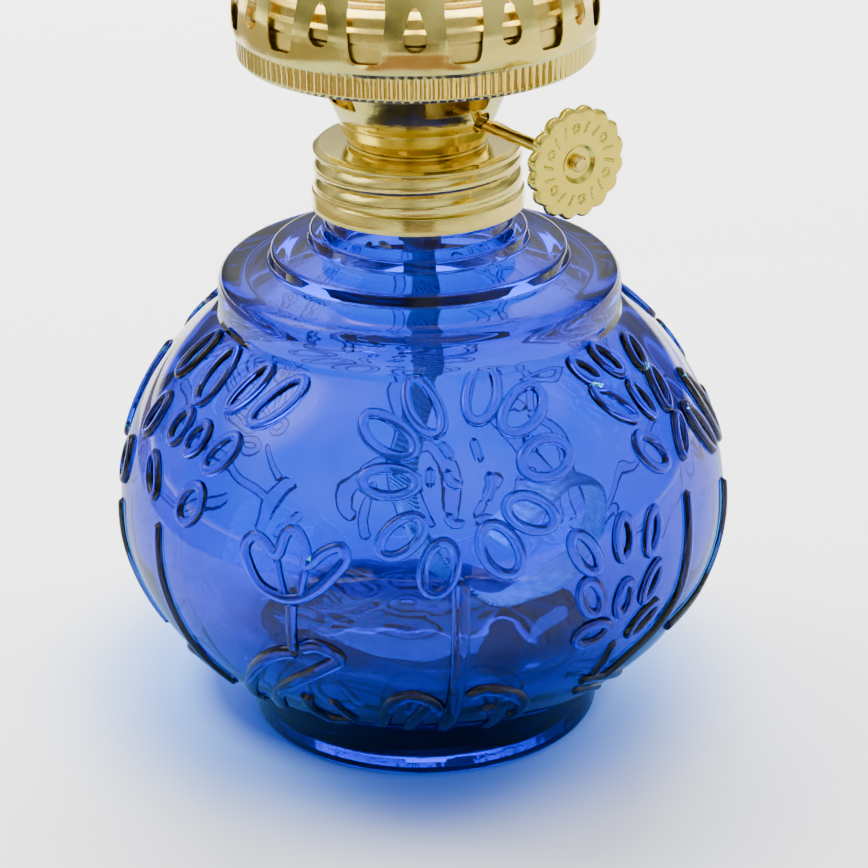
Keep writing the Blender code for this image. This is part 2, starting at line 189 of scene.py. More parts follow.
def across_room(towards, start, end, low, high):
    """Light that changes from low to high with the direction's share of a vector."""
    share = world_nodes.new("ShaderNodeVectorMath")
    share.operation = "DOT_PRODUCT"
    share.inputs[1].default_value = towards
    world_links.new(direction, share.inputs[0])
    return ramped(share.outputs["Value"], start, end, low, high)


def lights_mixed(operation, first, second):
    """Two fields of light multiplied or added."""
    maths = world_nodes.new("ShaderNodeMath")
    maths.operation = operation
    world_links.new(first, maths.inputs[0])
    world_links.new(second, maths.inputs[1])
    return maths.outputs["Value"]


patches = world_nodes.new("ShaderNodeTexNoise")
patches.inputs["Scale"].default_value = 1.7
patches.inputs["Detail"].default_value = 2.0
world_links.new(direction, patches.inputs["Vector"])
uneven = ramped(patches.outputs["Fac"], 0.36, 0.64, 0.35, 1.3, "LINEAR")
brighter_above = across_room((0, 0, 1), 0.0, 0.85, 0.6, 1.5)
brighter_behind = across_room((0, 1, 0), -0.9, 0.3, 0.7, 0.85)
walls = lights_mixed("MULTIPLY", lights_mixed("MULTIPLY", brighter_above, uneven), brighter_behind)
window = across_room((-0.70, 0.05, 0.71), 0.93, 0.99, 0.0, 3.5)
world_links.new(lights_mixed("ADD", walls, window), backdrop.inputs["Strength"])
backdrop.inputs["Color"].default_value = (0.98, 0.99, 1.0, 1)

bpy.ops.object.camera_add(location=(0.0023, -0.513, 0.278))
camera = bpy.context.object
looks_down, leans = 23.6, -0.7
tilt = Matrix.Rotation(math.radians(90 - looks_down), 3, "X")
roll = Matrix.Rotation(math.radians(leans), 3, "Z")
camera.rotation_euler = (tilt @ roll).to_euler()
camera.data.lens = 125.6
camera.data.sensor_width = 36.0
camera.data.clip_start = 0.01
bpy.context.scene.camera = camera


# ---------------------------------------------------------------------------
# Font: the blue glass bowl, pressed in a two-part mould in one piece with its
# ring foot, stepped shoulder and threaded neck. Flowers, a tulip and their
# stems stand up from the bowl as rounded outlines, once on each half.
# ---------------------------------------------------------------------------
MM = 0.001


def noise_field(material, scale, detail=3.0, roughness=0.5, stretch=(1, 1, 1)):
    """A noise texture in the piece's own coordinates; scale is per metre."""
    nodes, links = material.node_tree.nodes, material.node_tree.links
    place = nodes.new("ShaderNodeTexCoord")
    mapping = nodes.new("ShaderNodeMapping")
    mapping.inputs["Scale"].default_value = stretch
    texture = nodes.new("ShaderNodeTexNoise")
    texture.inputs["Scale"].default_value = scale
    texture.inputs["Detail"].default_value = detail
    texture.inputs["Roughness"].default_value = roughness
    links.new(place.outputs["Object"], mapping.inputs["Vector"])
    links.new(mapping.outputs["Vector"], texture.inputs["Vector"])
    return texture.outputs["Fac"]


def spread(material, field, low, high, start=0.3, end=0.7):
    """Turns a 0..1 field into values, or colours, between low and high."""
    nodes, links = material.node_tree.nodes, material.node_tree.links
    if isinstance(low, tuple):
        ramp = nodes.new("ShaderNodeValToRGB")
        ramp.color_ramp.elements[0].position = start
        ramp.color_ramp.elements[1].position = end
        ramp.color_ramp.elements[0].color = (*low, 1)
        ramp.color_ramp.elements[1].color = (*high, 1)
        links.new(field, ramp.inputs["Fac"])
        return ramp.outputs["Color"]
    ranges = nodes.new("ShaderNodeMapRange")
    ranges.inputs["From Min"].default_value = start
    ranges.inputs["From Max"].default_value = end
    ranges.inputs["To Min"].default_value = low
    ranges.inputs["To Max"].default_value = high
    links.new(field, ranges.inputs["Value"])
    return ranges.outputs["Result"]


def relief_of(material, field, height, strength=1.0, under=None):
    """A bump of that height in metres, laid over an earlier one if given."""
    nodes, links = material.node_tree.nodes, material.node_tree.links
    bump = nodes.new("ShaderNodeBump")
    bump.inputs["Distance"].default_value = height
    bump.inputs["Strength"].default_value = strength
    links.new(field, bump.inputs["Height"])
    if under is not None:
        links.new(under, bump.inputs["Normal"])
    return bump.outputs["Normal"]


def pick(*pieces):
    """Selects these pieces and no others, the first one active."""
    bpy.ops.object.select_all(action="DESELECT")
    for piece in pieces:
        piece.select_set(True)
    bpy.context.view_layer.objects.active = pieces[0]


def drawn(name, points):
    """A chain of edges through the points, in metres, extruded from one vertex; left in edit mode."""
    bpy.ops.object.select_all(action="DESELECT")
    bpy.ops.mesh.primitive_plane_add(size=MM)
    made = bpy.context.object
    made.name = name
    bpy.ops.object.mode_set(mode="EDIT")
    bpy.ops.mesh.select_all(action="SELECT")
    bpy.ops.mesh.merge(type="CENTER")
    bpy.ops.transform.translate(value=points[0])
    for here, there in zip(points, points[1:]):
        bpy.ops.mesh.extrude_region_move(TRANSFORM_OT_translate={"value": there - here})
    bpy.ops.mesh.select_all(action="SELECT")
    return made


def turned(name, outline, columns):
    """An outline of (radius, height) points in mm, spun once round the lamp's axis."""
    made = drawn(name, [Vector((r * MM, 0, z * MM)) for r, z in outline])
    bpy.ops.mesh.spin(steps=columns, angle=math.tau, center=(0, 0, 0), axis=(0, 0, 1))
    bpy.ops.mesh.select_all(action="SELECT")
    bpy.ops.mesh.remove_doubles(threshold=1e-6)
    bpy.ops.mesh.normals_make_consistent(inside=False)
    bpy.ops.object.mode_set(mode="OBJECT")
    return made


def rounded(corners, steps=5):
    """Points through (radius, height, fillet) corners in mm, with an arc at each that has a fillet."""
    points = []
    for i, (r, z, fillet) in enumerate(corners):
        here = Vector((r, z))
        if not fillet or i in (0, len(corners) - 1):
            points.append((r, z))
            continue
        before = Vector(corners[i - 1][:2]) - here
        after = Vector(corners[i + 1][:2]) - here
        reach = fillet / math.tan(before.angle(after) / 2)
        reach = min(reach, 0.49 * before.length, 0.49 * after.length)
        start = here + before.normalized() * reach
        end = here + after.normalized() * reach
        for k in range(steps + 1):
            t = k / steps
            points.append(tuple(start * (1 - t) ** 2 + here * 2 * t * (1 - t) + end * t * t))
    return points


def subdivided(points, spacing):
    """The same outline with no step longer than spacing."""
    made = [points[0]]
    for (r0, z0), (r1, z1) in zip(points, points[1:]):
        count = max(1, math.ceil(math.hypot(r1 - r0, z1 - z0) / spacing))
        made += [(r0 + (r1 - r0) * k / count, z0 + (z1 - z0) * k / count) for k in range(1, count + 1)]
    return made


def ellipse(centre, across, up, start, end, count):
    """(radius, height) points on an ellipse round (0, centre), between two height angles in degrees."""
    angles = np.radians(np.linspace(start, end, count))
    return [(across * math.cos(a), centre + up * math.sin(a)) for a in angles]


def places(piece):
    """The piece's vertex coordinates in mm, as an array."""
    found = np.empty(len(piece.data.vertices) * 3)
    piece.data.vertices.foreach_get("co", found)
    return found.reshape(-1, 3) / MM


def put(piece, points):
    """Moves the piece's vertices to these coordinates in mm."""
    piece.data.vertices.foreach_set("co", (points * MM).ravel())
    piece.data.update()


def pushed(points, amount):
    """The points moved away from the lamp's axis by amount, in mm."""
    radius = np.maximum(np.hypot(points[:, 0], points[:, 1]), 1e-6)
    grown = points.copy()
    grown[:, :2] *= ((radius + amount) / radius)[:, None]
    return grown


def smooth(piece, angle=40):
    """Smooth shading with creases sharper than the angle kept."""
    pick(piece)
    bpy.ops.object.shade_smooth_by_angle(angle=math.radians(angle))


def combined(piece, other, operation="DIFFERENCE"):
    """Cuts the other mesh from the piece, or welds it on, and removes the other."""
    pick(piece)
    bpy.ops.object.modifier_add(type="BOOLEAN")
    boolean = piece.modifiers[-1]
    boolean.operation = operation
    boolean.solver = "MANIFOLD"
    boolean.object = other
    bpy.ops.object.modifier_apply(modifier=boolean.name)
    bpy.data.objects.remove(other)


def meshed(name, vertices, faces):
    """A closed mesh of these vertices, in metres, and faces, with its normals outwards."""
    mesh = bpy.data.meshes.new(name)
    mesh.from_pydata(vertices, [], faces)
    made = bpy.data.objects.new(name, mesh)
    bpy.context.scene.collection.objects.link(made)
    pick(made)
    bpy.ops.object.mode_set(mode="EDIT")
    bpy.ops.mesh.select_all(action="SELECT")
    bpy.ops.mesh.normals_make_consistent(inside=False)
    bpy.ops.object.mode_set(mode="OBJECT")
    return made


bowl_radius, bowl_centre, bowl_lower, bowl_upper = 55.8, 43.5, 42.0, 48.0
hollow_radius, hollow_lower, hollow_upper = 51.8, 37.5, 44.0
neck_radius, neck_bottom, bore = 16.9, 98.0, 13.3

outside = rounded(
    [
        (0, 2.4, 0), (12, 2.2, 0), (22, 1.9, 0), (25.3, 1.6, 1.0), (27.3, 0.2, 0.8), (28.6, 0, 0.8),
        (30.8, 0, 0.6), (32.5, 0.6, 1.2), (32.7, 3.0, 0.8), (32.9, 8.9, 0),
    ]
)
outside += ellipse(bowl_centre, bowl_radius, bowl_lower, -53.5, -2, 34)
outside += ellipse(bowl_centre, bowl_radius, bowl_upper, 0, 48.6, 34)
outside += rounded(
    [
        (36.7, 79.6, 0), (36.4, 80.6, 0.6), (36.5, 87.9, 3.6), (27.2, 89.1, 0.9), (26.6, 91.6, 1.1),
        (19.9, 92.7, 0.7), (19.5, 95.2, 0.9), (neck_radius, 95.9, 0.5), (neck_radius, neck_bottom, 0),
    ],
    steps=7,
)
outside += [(neck_radius, neck_bottom + 0.25 * k) for k in range(1, 42)]
inside = rounded(
    [
        (neck_radius, 108.25, 0), (neck_radius, 108.9, 0.6), (bore, 108.9, 0.6), (bore, 94.6, 1.5),
        (16.2, 91.0, 2.0), (23.5, 87.3, 3.0), (31.0, 84.2, 1.5), (32.4, 81.8, 0),
    ]
)[1:]
inside += ellipse(bowl_centre, hollow_radius, hollow_upper, 50.5, 2, 22)
inside += ellipse(bowl_centre, hollow_radius, hollow_lower, 0, -88, 28)
bottom_of_hollow = [(0, bowl_centre - hollow_lower)]
font = turned("font_glass", subdivided(outside + inside + bottom_of_hollow, 2.5), 192)

thread_pitch, thread_height = 3.5, 0.95


def thread(points, bottom, top, depth):
    """How far a right-handed thread stands out at each point, in mm, fading out at both ends."""
    turn = np.arctan2(points[:, 1], points[:, 0])
    wave = (1 + np.cos(math.tau * points[:, 2] / thread_pitch - turn)) / 2
    near_end = np.minimum(points[:, 2] - bottom, top - points[:, 2]) / thread_pitch
    return depth * np.clip(near_end * 3, 0, 1) * wave


points = places(font)
radius = np.hypot(points[:, 0], points[:, 1])
on_neck = (points[:, 2] > 97.9) & (points[:, 2] < 108.3) & (radius > 16.5)
points[on_neck] = pushed(points[on_neck], thread(points[on_neck], 98.2, 108.3, thread_height))
beads, bead_height = 112, 0.16
on_foot = (points[:, 2] > 2.2) & (points[:, 2] < 4.4) & (radius > 32)
turn = np.arctan2(points[:, 1], points[:, 0])
points[on_foot] = pushed(points[on_foot], bead_height * np.cos(beads * turn[on_foot]))
put(font, points)


def on_bowl(azimuth, height):
    """The bowl's outside and its normal; the azimuth is in degrees, 0 in front and + to the right."""
    up = bowl_lower if height < bowl_centre else bowl_upper
    rise = (height - bowl_centre) / up
    radius, turn = bowl_radius * math.sqrt(1 - rise * rise), math.radians(azimuth)
    place = Vector((radius * math.sin(turn), -radius * math.cos(turn), height))
    normal = Vector((place.x / bowl_radius**2, place.y / bowl_radius**2, rise / up))
    return place, normal.normalized()


ridge_section = [
    (-1.0, -0.25), (-0.98, 0.1), (-0.88, 0.48), (-0.62, 0.82), (-0.22, 0.99),
    (0.22, 0.99), (0.62, 0.82), (0.88, 0.48), (0.98, 0.1), (1.0, -0.25),
]


def ridge(route, width=2.2, height=0.95, closed=False, spacing=1.0):
    """A rounded ridge along (azimuth, height) points on the bowl, as lists of vertices and faces, in mm."""
    route = [np.array(place, float) for place in route]
    before = route[-1] if closed else 2 * route[0] - route[1]
    after = [route[0], route[1]] if closed else [2 * route[-1] - route[-2]]
    line = [before, *route, *after]
    centres = []
    for p0, p1, p2, p3 in zip(line, line[1:], line[2:], line[3:]):
        length = (on_bowl(*p2)[0] - on_bowl(*p1)[0]).length
        count = max(2, round(length / spacing))
        for t in (k / count for k in range(count)):
            bend = (2 * p0 - 5 * p1 + 4 * p2 - p3) * t * t + (3 * p1 - p0 - 3 * p2 + p3) * t**3
            centres.append(on_bowl(*(0.5 * (2 * p1 + (p2 - p0) * t + bend))))
    if not closed:
        centres.append(on_bowl(*route[-1]))
    count = len(centres)
    travelled = [0.0]
    for (here, _), (there, _) in zip(centres, centres[1:]):
        travelled.append(travelled[-1] + (there - here).length)
    vertices, faces, around = [], [], len(ridge_section)
    for i, (place, normal) in enumerate(centres):
        ahead = centres[(i + 1) % count][0] if closed else centres[min(i + 1, count - 1)][0]
        behind = centres[i - 1][0] if closed else centres[max(i - 1, 0)][0]
        side = normal.cross(ahead - behind).normalized()
        to_end = min(travelled[i], travelled[-1] - travelled[i])
        inset = 1 - min(1, to_end / (width / 2))
        share = 1.0 if closed else max(0.12, math.sqrt(1 - inset * inset))
        sunk = 0.0 if closed or to_end > 0 else 0.25
        for across, out in ridge_section:
            rise = height * (share * max(out, 0) + min(out, 0)) - sunk
            vertices.append(place + side * across * share * width / 2 + normal * rise)
    for i in range(count if closed else count - 1):
        j = (i + 1) % count
        for k in range(around):
            m = (k + 1) % around
            faces.append((i * around + k, i * around + m, j * around + m, j * around + k))
    if not closed:
        faces.append(tuple(range(around))[::-1])
        faces.append(tuple((count - 1) * around + k for k in range(around)))
    return vertices, faces


def ring(start, end, across, width=2.1, height=0.95):
    """A petal's oval outline: its long axis runs from start to end, its short one is across mm long."""
    (a, _), (b, _) = on_bowl(*start), on_bowl(*end)
    middle = (np.array(start) + np.array(end)) / 2
    place, normal = on_bowl(*middle)
    length = (b - a).length
    side = normal.cross(b - a).normalized() * across / 2
    level = Vector((-place.y, place.x, 0)).normalized()
    uphill = normal.cross(level)
    uphill = uphill if uphill.z > 0 else -uphill
    per_degree = math.radians(math.hypot(place.x, place.y))
    route = []
    for k in range(12):
        turn = math.tau * k / 12
        out = (b - a) / 2 * math.cos(turn) + side * math.sin(turn)
        route.append((middle[0] + out.dot(level) / per_degree, middle[1] + out.dot(uphill) * uphill.z))
    return ridge(route, width, height, closed=True)


def flower(azimuth, height, petals):
    """Petal outlines round a point of the bowl: (direction in degrees, distance, length, width), in mm."""
    made = []
    for direction, distance, length, across in petals:
        ends = []
        for reach in (distance - length / 2, distance + length / 2):
            turn = math.radians(direction)
            high = height + reach * math.sin(turn) * (0.88 if direction > 0 else 0.95)
            place, _ = on_bowl(azimuth, high)
            ends.append((azimuth + math.degrees(reach * math.cos(turn) / math.hypot(*place.xy)), high))
        made.append(ring(*ends, across))
    return made


great_flower = flower(
    7.5, 66.2,
    [
        (146, 13.4, 9.4, 5.4), (111, 12.6, 8.6, 5.0), (68, 14.2, 8.4, 5.2), (39, 15.8, 8.6, 5.8),
        (7, 15.8, 9.0, 6.6), (-27, 13.6, 9.4, 5.4), (-61, 13.2, 9.8, 6.0), (-107, 14.6, 9.4, 5.4),
        (-141, 13.4, 9.0, 5.0), (179, 11.8, 9.4, 4.8),
    ],
)
left_flower = [
    ring((-58, 71), (-58.5, 79), 4.8), ring((-48, 72), (-43, 79), 3.4), ring((-40, 71.5), (-31, 78.5), 4.4),
    ring((-60.5, 64), (-58.5, 69.5), 3.8), ring((-54, 64), (-51, 69), 3.6),
    ring((-47, 63), (-41.5, 69), 4.0),
    ring((-60, 54.5), (-64.5, 60.5), 3.2), ring((-50, 53.5), (-46.5, 60), 4.8),
    ring((-79, 50.5), (-79, 58), 4.2),
    ring((-72, 62), (-70, 69), 3.6), ring((-73, 72), (-71, 79), 3.8),
]
right_flower = [
    ring((44, 79), (48.5, 75.5), 2.8), ring((54, 79.5), (57, 75), 3.2), ring((70, 78), (65, 74), 3.0),
    ring((45, 75), (52.5, 69), 3.4), ring((57, 73.5), (58, 68), 2.6), ring((67.5, 73.5), (64, 67.5), 3.0),
    ring((49.5, 66.5), (55, 60.5), 4.6), ring((66, 66), (61.5, 60), 2.8), ring((71, 66), (77.5, 55.5), 3.4),
    ring((80, 69), (87, 54), 4.0),
]
small_flower = [
    ring((40, 56), (38.5, 49), 3.2), ring((48, 55), (45, 48), 3.0), ring((28.5, 55.5), (32.5, 48.5), 3.8),
    ring((47.5, 45.5), (43.5, 39.5), 2.8), ring((30, 47), (32.5, 40.5), 4.0),
    ring((39.5, 44.5), (38, 38.5), 3.2),
    ring((47.5, 37.5), (41.5, 33), 3.0), ring((28.5, 36), (35.5, 36.7), 4.0),
]
tulip = [
    ridge(
        [
            (-33, 54.5), (-33.5, 52.5), (-31.5, 49), (-29.5, 47), (-26.5, 46), (-23, 46), (-19, 48),
            (-16, 51), (-13.7, 54), (-14.7, 56), (-18, 54.7), (-20.8, 52.2), (-21.3, 55), (-23.5, 57.7),
            (-25.5, 56.8), (-26.8, 53), (-29.5, 54.8), (-31.5, 55.5),
        ],
        closed=True,
    ),
]
stamens = [
    ridge(route, 1.9, 0.8)
    for route in (
        [(4.1, 72.2), (6.9, 69.2)], [(11.3, 72.4), (12.4, 68.6)], [(1.9, 68.8), (1.7, 65.4)],
        [(5.2, 68.4), (6, 66.3), (8.5, 65.4)], [(13.6, 67.6), (13.6, 65), (11.9, 62.7)],
        [(4.6, 62), (6, 60), (8.4, 60.4)],
    )
]
tulip_lines = [
    ridge([(-26.8, 53), (-26.2, 50), (-24.9, 46.2)], 1.6),
    ridge([(-20.8, 52.2), (-21.6, 49), (-21.9, 46.2)], 1.6),
]
stems = [
    ridge([(6.8, 51), (6.6, 40.5), (6.3, 30), (5.8, 21.5), (4.6, 14.5)], 3.2, 1.0),
    ridge([(-23.6, 45.8), (-23.9, 40), (-24, 35)], 2.2, 0.9),
    ridge([(38.2, 33), (37.4, 29), (36, 24.5)], 2.0, 0.9),
    ridge([(59.1, 55), (57.8, 49), (56.6, 43), (54.8, 36), (50.8, 31), (44.5, 26.5), (40, 22.5)], 2.6, 1.0),
    ridge([(80.1, 49), (79.5, 43), (77.5, 36.5), (72.5, 31.5), (65, 29.5), (56, 28)], 2.6, 1.0),
    ridge([(-57, 51), (-56, 42), (-54, 33), (-52, 25), (-49, 18)], 2.2, 0.9),
    ridge([(-79, 47), (-77.5, 38), (-75, 30), (-72, 23)], 2.4, 0.9),
]
leaves = [
    ridge([(-23, 35.4), (-28, 33.8), (-33, 29.8), (-38, 24.2), (-42, 19), (-39, 17.2)], 2.9, 1.0),
    ridge([(-10, 16.5), (-6.5, 24.5), (-2.5, 27.2), (1.4, 25.4), (3.2, 22.5)], 2.9, 1.0),
    ridge([(8.3, 26), (11.5, 27.8), (17, 26), (21, 22.2), (21.4, 19), (18.8, 17.4)], 2.9, 1.0),
    ridge([(33, 24.6), (41, 22.8), (49, 20)], 2.7, 0.9),
    ridge([(-24.3, 24.5), (-25.6, 20), (-23, 16.4), (-16.4, 17)], 2.6, 0.9),
    ridge([(-60, 22), (-56.5, 24.5), (-52.5, 22.5), (-50.5, 18)], 2.6, 0.9),
]
under_leaves = [
    ridge(
        [(-22.9, 36), (-19.2, 37.4), (-15.2, 35.4), (-19.3, 32), (-26, 27.4), (-32, 22.4), (-36.5, 16.4)],
        2.9,
        0.9,
    ),
    ridge([(1.2, 25), (-0.8, 21.2), (-4.1, 15)], 2.9, 0.9),
    ridge([(12.6, 23), (15.6, 19.5), (16.6, 16), (16, 13.4)], 2.9, 0.9),
    ridge([(33.5, 21.2), (39, 19.8), (45.4, 17.6)], 2.0, 0.8),
    ridge([(-19.4, 24), (-17.9, 21.2), (-16, 17)], 2.0, 0.7),
]


def relief(ridges):
    """The ridges as one closed mesh, and again on the other half of the mould."""
    vertices, faces = [], []
    for half in (0.0, math.pi):
        turned_round = Matrix.Rotation(half, 3, "Z")
        for places_of, faces_of in ridges:
            start = len(vertices)
            vertices += [turned_round @ place * MM for place in places_of]
            faces += [tuple(start + k for k in face) for face in faces_of]
    return meshed("relief", vertices, faces)


flowers = great_flower + left_flower + right_flower + small_flower + tulip
for group in (flowers, stamens + tulip_lines, stems, leaves, under_leaves):
    combined(font, relief(group), "UNION")

points = places(font)
radius = np.hypot(points[:, 0], points[:, 1])
height = points[:, 2].copy()
bowl_there = bowl_radius * np.sqrt(np.clip(1 - ((height - bowl_centre) / bowl_upper) ** 2, 0, 1))
hollow = (radius < bowl_there - 2) & (height > 5) & (height < 82)
inner_wave, outer_wave = 0.5, 0.07
waves = np.array([noise.noise(Vector(p) / 17) + 0.4 * noise.noise(Vector(p) / 7) for p in points])
points[hollow] = pushed(points[hollow], waves[hollow] * inner_wave)
body = (height > 12) & ~hollow & (height < 96)
ripples = np.array([noise.noise(Vector(p) / 11 + Vector((9, 0, 0))) for p in points])
points[body] = pushed(points[body], ripples[body] * outer_wave)
put(font, points)
smooth(font, 35)

blue_glass, glass_shader = shader(
    "blue_glass", Base_Color=(1, 1, 1, 1), Roughness=0.0, IOR=1.46, Transmission_Weight=1.0
)
glass_tree = blue_glass.node_tree
glass_tree.links.new(
    spread(blue_glass, noise_field(blue_glass, 60), 0.0, 0.03), glass_shader.inputs["Roughness"]
)
glass_tree.links.new(
    relief_of(blue_glass, noise_field(blue_glass, 90, detail=1), 0.0004, 0.25),
    glass_shader.inputs["Normal"],
)
tint = glass_tree.nodes.new("ShaderNodeVolumeAbsorption")
tint.inputs["Color"].default_value = (0.0, 0.80, 0.963, 1)
tint.inputs["Density"].default_value = 2400
glass_tree.links.new(tint.outputs["Volume"], glass_tree.nodes["Material Output"].inputs["Volume"])
font.data.materials.clear()
font.data.materials.append(blue_glass)
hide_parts("font")
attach(font, "base")


# ---------------------------------------------------------------------------
# Sealing washer: a cork ring that the cap presses on the mouth of the neck.
# ---------------------------------------------------------------------------
cork, cork_shader = shader("cork", Base_Color=(0.45, 0.32, 0.2, 1), Roughness=0.9)
cork.node_tree.links.new(
    spread(cork, noise_field(cork, 1500, 4), (0.30, 0.19, 0.10), (0.56, 0.41, 0.25)),
    cork_shader.inputs["Base Color"],
)
cork.node_tree.links.new(
    relief_of(cork, noise_field(cork, 2500), 0.0002, 0.6), cork_shader.inputs["Normal"]
)


def dressed(node, material):
    """A CAD piece shown as it is, in its real material."""
    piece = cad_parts[node]
    piece.data.materials.clear()
    piece.data.materials.append(material)
    return piece


dressed("cap_liner", cork)


# ---------------------------------------------------------------------------
# Screw cap: spun from thin brass sheet with a rolled thread, a flared lip
# below it, and a flat top that turns up into a boss. Lacquered bright brass.
# ---------------------------------------------------------------------------


def brass_finish(name, pale, deep, fine=0.16, coarse=0.26, stretch=(1, 1, 1), grain=900):
    """Bright lacquered brass; pale and deep are its two tones, fine and coarse its roughness."""
    made, principled = shader(name, Metallic=1.0, Roughness=fine, Base_Color=(*pale, 1))
    links = made.node_tree.links
    links.new(spread(made, noise_field(made, 120, 4), deep, pale), principled.inputs["Base Color"])
    links.new(spread(made, noise_field(made, 400, 5), fine, coarse), principled.inputs["Roughness"])
    drawing = relief_of(made, noise_field(made, grain, 4, 0.6, stretch), 0.00004, 0.5)
    waviness = relief_of(made, noise_field(made, 160, 1), 0.00015, 0.35, drawing)
    links.new(waviness, principled.inputs["Normal"])
    return made


def sheet(piece, thickness):
    """Gives a turned surface its sheet thickness, inwards, in mm."""
    pick(piece)
    bpy.ops.object.modifier_add(type="SOLIDIFY")
    solidify = piece.modifiers[-1]
    solidify.thickness = thickness * MM
    solidify.offset = -1
    solidify.use_even_offset = True
    bpy.ops.object.modifier_apply(modifier=solidify.name)
    return piece


def finished(piece, material, slot_name, body, *nodes, crease=35):
    """Smooths the piece, gives it its material and lets it stand for its CAD nodes."""
    smooth(piece, crease)
    piece.data.materials.clear()
    piece.data.materials.append(material)
    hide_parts(*nodes)
    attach(piece, body)
    return piece


cap_brass = brass_finish("cap_brass", (0.88, 0.74, 0.20), (0.80, 0.64, 0.14), 0.06, 0.16, stretch=(1, 1, 6))
cap_radius, thread_top, thread_bottom = 18.8, 109.4, 103.1
cap_outline = rounded(
    [
        (10.6, 111.35, 0), (12.2, 111.3, 0.3), (12.5, 110.95, 0.3), (17.6, 110.95, 1.3),
        (cap_radius, 110.2, 0.9), (cap_radius, thread_top, 0),
    ],
)
cap_outline += subdivided([(cap_radius, thread_top), (cap_radius, thread_bottom)], 0.16)[1:]
cap_outline += rounded(
    [
        (cap_radius, thread_bottom, 0), (18.45, 102.85, 0.12), (19.0, 102.45, 0.2), (19.25, 100.3, 0.6),
        (19.15, 99.5, 0),
    ],
    3,
)[1:]
cap = turned("cap", cap_outline, 208)
points = places(cap)
groove = 1 - thread(points, 0, 200, 1.0)
groove = 1 - np.sqrt(np.clip(1 - groove, 0, 1))
groove_depth, brass_thickness = 0.9, 0.4
fade = np.clip(np.minimum(points[:, 2] - 102.9, 110.6 - points[:, 2]) / 1.2, 0, 1)
outer = np.hypot(points[:, 0], points[:, 1]) > 18
points[outer] = pushed(points[outer], -groove_depth * (groove * fade)[outer])
put(cap, points)
finished(sheet(cap, brass_thickness), cap_brass, "brass", "burner", "burner_cap")


# ---------------------------------------------------------------------------
# Base plate, spindle bracket, wick tube and spur wheels: the plain inner
# pieces, in duller brass because no one polishes them.
# ---------------------------------------------------------------------------
inner_brass = brass_finish("inner_brass", (0.76, 0.60, 0.12), (0.58, 0.42, 0.08), 0.25, 0.4)
spur_wheels = ("spur_wheel_inner", "spur_wheel_outer")
for node in ("base_plate", "spindle_bracket", "wick_tube", *spur_wheels, "air_plate"):
    dressed(node, inner_brass)


# ---------------------------------------------------------------------------
# Burner cup: a flared cup on a rolled bead. Four windows let air up to the
# flame and leave four tabs; the winder's shaft comes out through a hole.
# ---------------------------------------------------------------------------
UP = Vector((0, 0, 1))


def joined(pieces):
    """Several meshes as one object."""
    pick(*pieces)
    if len(pieces) > 1:
        bpy.ops.object.join()
    return pieces[0]


def radial_block(outline, angle, near, far):
    """A cutter: (across, height) points in mm, drawn square to a radius and pushed out from near to far."""
    turn = math.radians(angle)
    out, across = Vector((math.cos(turn), math.sin(turn), 0)), Vector((-math.sin(turn), math.cos(turn), 0))
    made = drawn("cutter", [(out * near + across * a + UP * z) * MM for a, z in outline])
    bpy.ops.mesh.edge_face_add()
    bpy.ops.mesh.select_all(action="SELECT")
    bpy.ops.mesh.extrude_region_move(TRANSFORM_OT_translate={"value": out * (far - near) * MM})
    bpy.ops.mesh.select_all(action="SELECT")
    bpy.ops.mesh.normals_make_consistent(inside=False)
    bpy.ops.object.mode_set(mode="OBJECT")
    return made


def mirrored(half):
    """A symmetrical outline from its right half, listed from the bottom up."""
    return half + [(-a, z) for a, z in reversed(half) if a > 0]


cup_brass = brass_finish("cup_brass", (0.89, 0.74, 0.19), (0.84, 0.66, 0.13), 0.05, 0.12)
cup_outline = rounded(
    [
        (9.3, 111.5, 0), (11.3, 111.45, 0.5), (12.3, 112.0, 1.0), (13.1, 113.5, 2.0), (13.8, 115.9, 4.0),
        (14.7, 118.0, 4.0), (17.9, 125.2, 0.8), (19.4, 125.9, 0),
    ]
)
cup = sheet(turned("cup", subdivided(cup_outline, 0.7), 128), brass_thickness)
air_window = mirrored([(5.3, 119.6), (5.9, 119.8), (6.2, 120.4), (7.1, 127.5)])
combined(cup, joined([radial_block(air_window, -63 + 90 * k, 10, 24) for k in range(4)]))
spindle_way, off_wick = Vector((0.56641, -0.82413, 0)), Vector((0.82413, 0.56641, 0))
spindle_start = off_wick * 4 + UP * 116.8
spindle_turn = UP.rotation_difference(spindle_way).to_matrix().to_4x4()
spindle_place = Matrix.Translation(spindle_start * MM) @ spindle_turn
bpy.ops.object.select_all(action="DESELECT")
bpy.ops.mesh.primitive_cylinder_add(vertices=48, radius=2.1 * MM, depth=8 * MM)
shaft_hole = bpy.context.object
shaft_hole.data.transform(spindle_place @ Matrix.Translation((0, 0, 13 * MM)))
combined(cup, shaft_hole)
finished(cup, cup_brass, "brass", "burner", "burner_cup")


# ---------------------------------------------------------------------------
# Gallery: one pressed sheet. A knurled ring at the bottom, then a wall with
# teardrop holes between slots that run up and part it into sprung prongs.
# ---------------------------------------------------------------------------
gallery_brass = brass_finish(
    "gallery_brass", (0.88, 0.75, 0.20), (0.80, 0.66, 0.14), 0.10, 0.24, stretch=(1, 1, 0.08), grain=2600
)
gallery_outline = rounded(
    [
        (29.2, 127.2, 0), (30.7, 127.25, 0.4), (31.2, 127.9, 0.5), (31.3, 131.6, 0.4), (31.75, 132.4, 0.5),
        (32.02, 134.0, 0), (32.1, 136.0, 0), (31.95, 138.0, 0), (31.6, 140.0, 0), (31.1, 142.0, 0),
        (30.45, 144.0, 0), (29.75, 146.0, 0), (29.05, 148.0, 0), (28.4, 150.0, 0), (27.8, 152.0, 0),
        (27.3, 154.5, 2.0), (27.3, 157.8, 2.0), (28.0, 160.5, 0),
    ]
)
